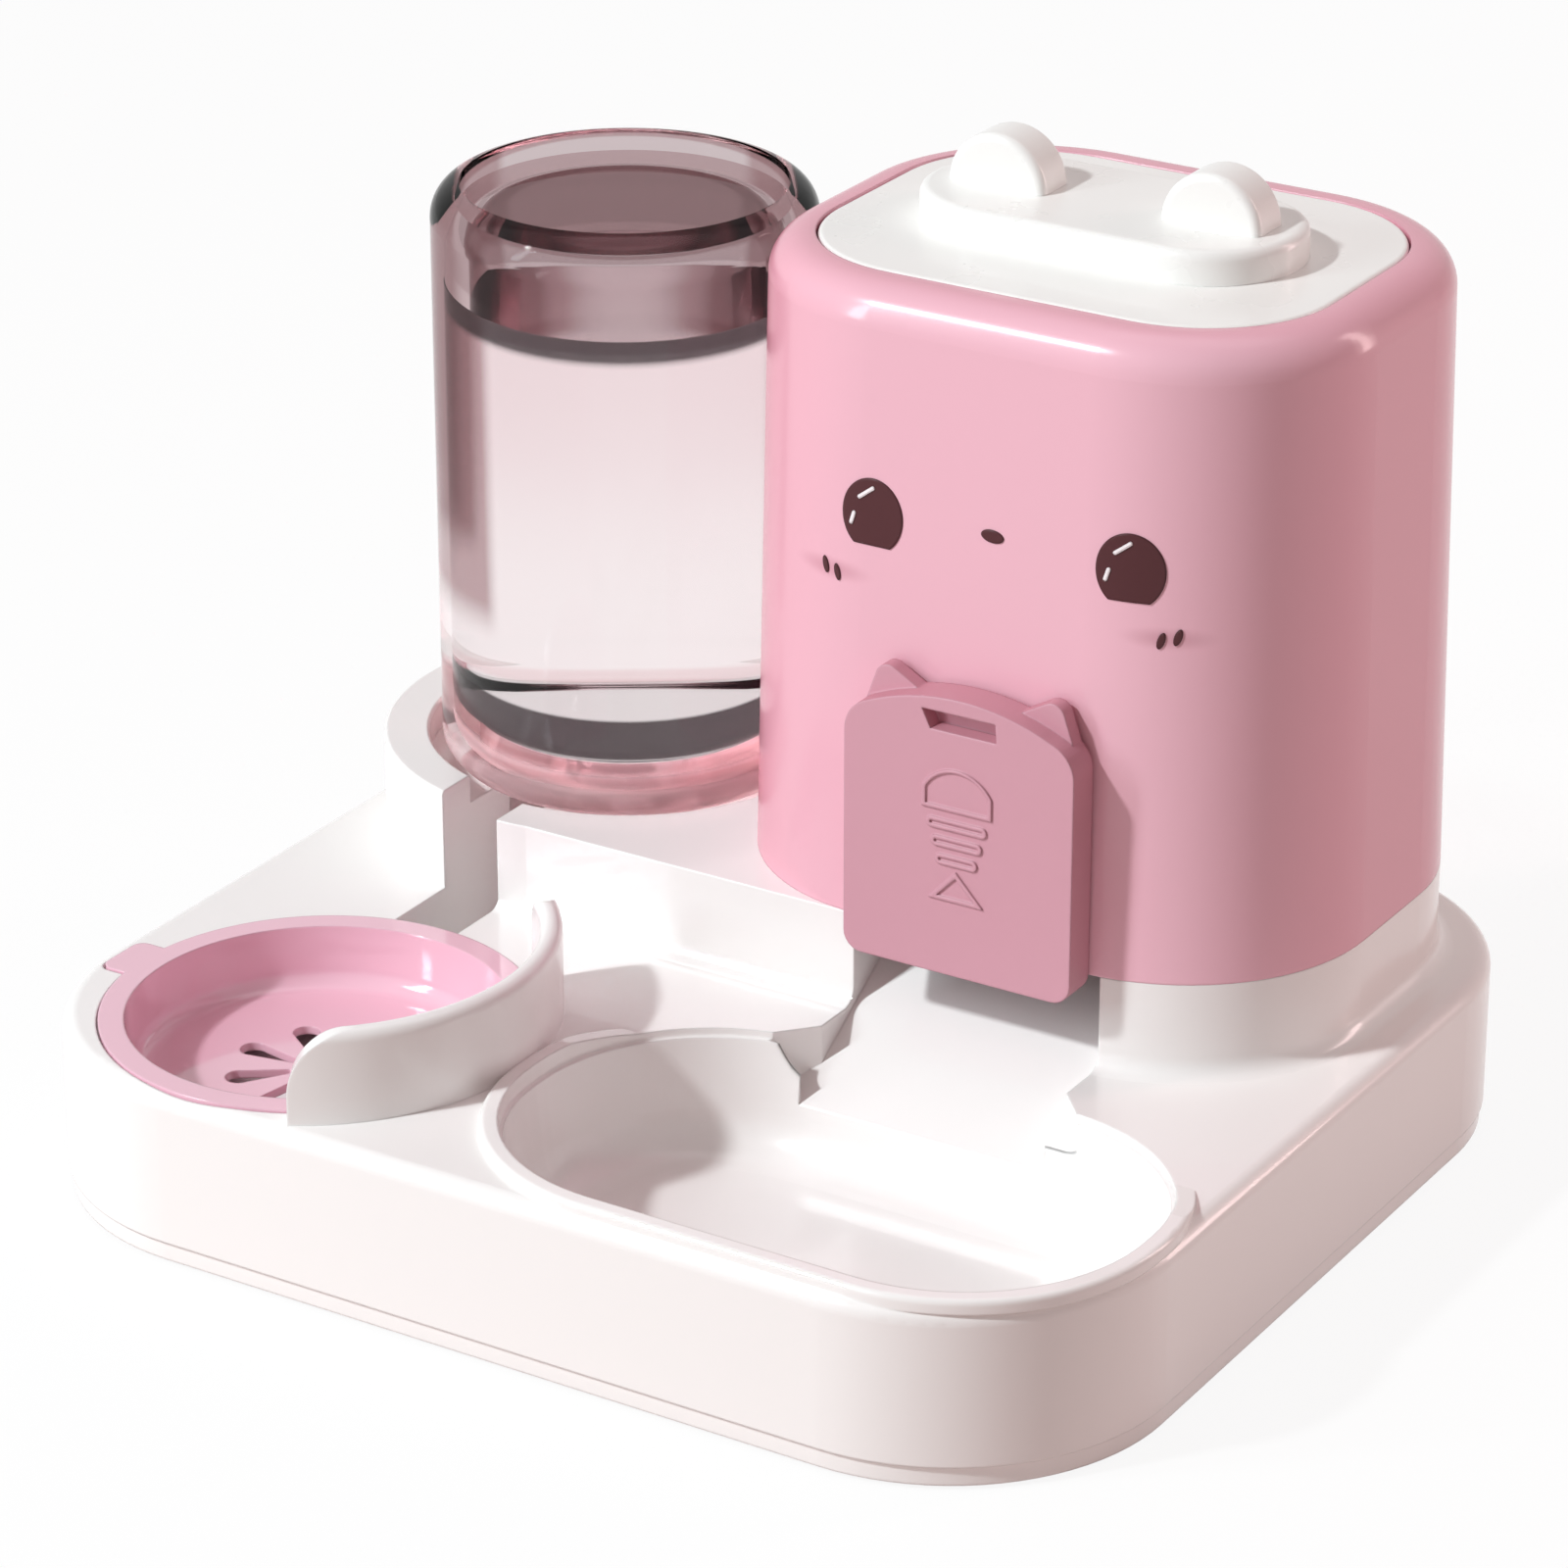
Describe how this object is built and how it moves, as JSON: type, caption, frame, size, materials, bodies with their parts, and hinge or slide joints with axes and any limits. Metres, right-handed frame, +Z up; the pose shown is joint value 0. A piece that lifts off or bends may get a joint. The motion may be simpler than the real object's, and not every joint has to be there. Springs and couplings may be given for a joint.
{
  "type": "pet food and water dispenser",
  "caption": "Gravity pet feeder: white tray with food bowl and lift-out water bowl, lidded pink food tank with sliding gate, and an upside-down clear water bottle with a valve cap.",
  "frame": {"origin": "on the table, under the middle of the tray", "axes": "+X along the tray's width from the water side to the food side, +Y to the back, +Z up"},
  "size_m": [0.3, 0.271, 0.2523],
  "materials": {
    "tray_white": "glossy white moulded plastic",
    "tank_pink": "glossy pink moulded plastic",
    "gate_pink": "satin dusky pink moulded plastic",
    "bowl_pink": "glossy pale pink moulded plastic",
    "bottle_clear": "clear plastic, thick walled",
    "natural_plastic": "natural translucent plastic",
    "silicone": "translucent silicone",
    "foot_rubber": "grey rubber",
    "steel": "plain steel",
    "print_brown": "dark brown printed film",
    "print_white": "white printed film"
  },
  "bodies": {
    "tray_body": {"base_tray": "tray_white", "bottom_plate": "tray_white", "plate_screws": "steel", "rubber_feet": "foot_rubber", "food_tank": "tank_pink", "tank_screws": "steel", "feed_ramp": "tray_white", "water_bowl": "bowl_pink", "bottle": "bottle_clear", "bottle_cap": "tray_white", "cap_gasket": "silicone", "valve_cage": "natural_plastic", "valve_spring": "steel", "left_eye": "print_brown", "right_eye": "print_brown", "eye_highlights": "print_white", "mouth": "print_brown", "cheek_marks": "print_brown"},
    "gate_body": {"gate": "gate_pink"},
    "lid_body": {"tank_lid": "tray_white", "lid_seal": "silicone"},
    "valve_body": {"valve_stem": "natural_plastic", "valve_seal": "foot_rubber"}
  },
  "joints": [
    {"name": "gate_slide", "type": "slide", "parent": "tray_body", "child": "gate_body", "axis": [0, 0, 1], "range_m": [-0.0195, 0.015]},
    {"name": "lid_lift", "type": "slide", "parent": "tray_body", "child": "lid_body", "axis": [0, 0, 1], "range_m": [0, 0.06]},
    {"name": "valve_slide", "type": "slide", "parent": "tray_body", "child": "valve_body", "axis": [0, 0, 1], "range_m": [0, 0.002], "stiffness_N_per_m": 60, "springref_m": -0.003, "deforming": ["valve_spring"]}
  ]
}
